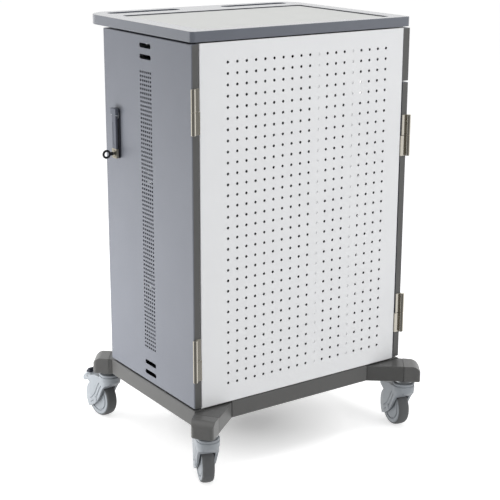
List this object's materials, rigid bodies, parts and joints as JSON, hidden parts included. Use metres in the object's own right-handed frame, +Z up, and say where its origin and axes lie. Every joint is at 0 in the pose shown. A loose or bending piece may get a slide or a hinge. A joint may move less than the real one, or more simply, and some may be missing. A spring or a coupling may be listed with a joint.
{
  "type": "laptop charging cart",
  "caption": "Lockable sheet-metal laptop charging cart with perforated sides, vented front and back doors, a grey worktop with a mat and hand slots, and swivel casters.",
  "frame": {"origin": "on the floor, under the middle of the cabinet", "axes": "+Z up, -Y out of the front door, +X out of the hinged side"},
  "size_m": [0.6336, 0.7053, 1.067],
  "materials": {
    "white_powder_coat": "satin powder coat, off-white",
    "grey_powder_coat": "satin powder coat, blue grey",
    "grey_painted_casting": "fine textured grey paint on castings",
    "grey_moulded_top": "moulded, fine grain",
    "pale_mat": "matt, lightly ribbed",
    "pale_caster_plastic": "moulded, pale blue grey",
    "grey_tyre": "non-marking, matt",
    "nickel_plated_steel": "bright nickel plate",
    "black_plastic": "moulded, satin",
    "grey_plastic": "moulded, satin"
  },
  "bodies": {
    "cabinet": {"right_side_panel": "white_powder_coat", "left_side_panel": "white_powder_coat", "floor_deck": "white_powder_coat", "roof_deck": "white_powder_coat", "partition": "white_powder_coat", "upper_back_panel": "grey_powder_coat", "power_inlet": "black_plastic", "worktop": "grey_moulded_top", "worktop_mat": "pale_mat", "middle_shelf": "white_powder_coat", "upper_shelf": "white_powder_coat", "lower_divider_rack": "grey_plastic", "middle_divider_rack": "grey_plastic", "upper_divider_rack": "grey_plastic", "left_power_strip": "black_plastic", "right_power_strip": "black_plastic", "front_base_bar": "grey_powder_coat", "back_base_bar": "grey_powder_coat", "right_base_bar": "grey_powder_coat", "left_base_bar": "grey_powder_coat", "front_upper_hinge_frame_leaf": "nickel_plated_steel", "front_lower_hinge_frame_leaf": "nickel_plated_steel", "back_upper_hinge_frame_leaf": "nickel_plated_steel", "back_lower_hinge_frame_leaf": "nickel_plated_steel", "front_right_casting": "grey_painted_casting", "front_right_stem": "nickel_plated_steel", "back_right_casting": "grey_painted_casting", "back_right_stem": "nickel_plated_steel", "front_left_casting": "grey_painted_casting", "front_left_stem": "nickel_plated_steel", "back_left_casting": "grey_painted_casting", "back_left_stem": "nickel_plated_steel"},
    "front_door": {"front_door": "grey_powder_coat", "handle_base": "grey_plastic", "front_upper_hinge_door_leaf": "nickel_plated_steel", "front_lower_hinge_door_leaf": "nickel_plated_steel"},
    "handle_spindle": {"handle_spindle": "nickel_plated_steel", "front_latch_cam": "nickel_plated_steel"},
    "handle_lever": {"handle_lever": "grey_plastic"},
    "front_lock": {"front_lock_plug": "nickel_plated_steel", "front_key": "black_plastic"},
    "back_door": {"back_door": "grey_powder_coat", "back_upper_hinge_door_leaf": "nickel_plated_steel", "back_lower_hinge_door_leaf": "nickel_plated_steel"},
    "back_lock": {"back_lock_plug": "nickel_plated_steel", "back_lock_cam": "nickel_plated_steel"},
    "front_right_fork": {"front_right_fork": "pale_caster_plastic", "front_right_axle": "nickel_plated_steel"},
    "front_right_wheel": {"front_right_wheel": "grey_tyre"},
    "back_right_fork": {"back_right_fork": "pale_caster_plastic", "back_right_axle": "nickel_plated_steel"},
    "back_right_wheel": {"back_right_wheel": "grey_tyre"},
    "front_left_fork": {"front_left_fork": "pale_caster_plastic", "front_left_axle": "nickel_plated_steel"},
    "front_left_wheel": {"front_left_wheel": "grey_tyre"},
    "front_left_brake_pedal": {"front_left_brake_pedal": "pale_caster_plastic"},
    "back_left_fork": {"back_left_fork": "pale_caster_plastic", "back_left_axle": "nickel_plated_steel"},
    "back_left_wheel": {"back_left_wheel": "grey_tyre"},
    "back_left_brake_pedal": {"back_left_brake_pedal": "pale_caster_plastic"}
  },
  "joints": [
    {"name": "front_door_hinge", "type": "hinge", "parent": "cabinet", "child": "front_door", "pos_m": [0.2083, -0.314, 0.6135], "axis": [0, 0, 1], "range_deg": [0, 180]},
    {"name": "back_door_hinge", "type": "hinge", "parent": "cabinet", "child": "back_door", "pos_m": [0.2083, 0.314, 0.547], "axis": [0, 0, -1], "range_deg": [0, 180]},
    {"name": "handle_turn", "type": "hinge", "parent": "front_door", "child": "handle_spindle", "pos_m": [-0.1385, -0.3227, 0.8375], "axis": [0, -1, 0], "range_deg": [0, 90]},
    {"name": "handle_lift", "type": "hinge", "parent": "handle_spindle", "child": "handle_lever", "pos_m": [-0.1385, -0.3227, 0.8375], "axis": [-1, 0, 0], "range_deg": [0, 20]},
    {"name": "front_lock_turn", "type": "hinge", "parent": "handle_lever", "child": "front_lock", "pos_m": [-0.1385, -0.3272, 0.7415], "axis": [0, -1, 0], "range_deg": [0, 90]},
    {"name": "back_lock_turn", "type": "hinge", "parent": "back_door", "child": "back_lock", "pos_m": [-0.1525, 0.314, 0.6175], "axis": [0, 1, 0], "range_deg": [0, 90]},
    {"name": "front_right_swivel", "type": "hinge", "parent": "cabinet", "child": "front_right_fork", "pos_m": [0.241, -0.3015, 0.1303], "axis": [0, 0, 1], "continuous": true},
    {"name": "front_right_wheel_spin", "type": "hinge", "parent": "front_right_fork", "child": "front_right_wheel", "pos_m": [0.20552, -0.28788, 0.04957], "axis": [-0.3584, -0.9336, 0], "continuous": true},
    {"name": "back_right_swivel", "type": "hinge", "parent": "cabinet", "child": "back_right_fork", "pos_m": [0.241, 0.3015, 0.1303], "axis": [0, 0, 1], "continuous": true},
    {"name": "back_right_wheel_spin", "type": "hinge", "parent": "back_right_fork", "child": "back_right_wheel", "pos_m": [0.20383, 0.3094, 0.04957], "axis": [-0.2079, -0.9781, 0], "continuous": true},
    {"name": "front_left_swivel", "type": "hinge", "parent": "cabinet", "child": "front_left_fork", "pos_m": [-0.241, -0.3015, 0.1303], "axis": [0, 0, 1], "continuous": true},
    {"name": "front_left_wheel_spin", "type": "hinge", "parent": "front_left_fork", "child": "front_left_wheel", "pos_m": [-0.27879, -0.30547, 0.04957], "axis": [0.1045, -0.9945, 0], "continuous": true},
    {"name": "front_left_brake_press", "type": "hinge", "parent": "front_left_fork", "child": "front_left_brake_pedal", "pos_m": [-0.3146, -0.30923, 0.1043], "axis": [0.1045, -0.9945, 0], "range_deg": [0, 15]},
    {"name": "back_left_swivel", "type": "hinge", "parent": "cabinet", "child": "back_left_fork", "pos_m": [-0.241, 0.3015, 0.1303], "axis": [0, 0, 1], "continuous": true},
    {"name": "back_left_wheel_spin", "type": "hinge", "parent": "back_left_fork", "child": "back_left_wheel", "pos_m": [-0.27863, 0.30679, 0.04957], "axis": [-0.1392, -0.9903, 0], "continuous": true},
    {"name": "back_left_brake_press", "type": "hinge", "parent": "back_left_fork", "child": "back_left_brake_pedal", "pos_m": [-0.31428, 0.3118, 0.1043], "axis": [-0.1392, -0.9903, 0], "range_deg": [0, 15]}
  ]
}
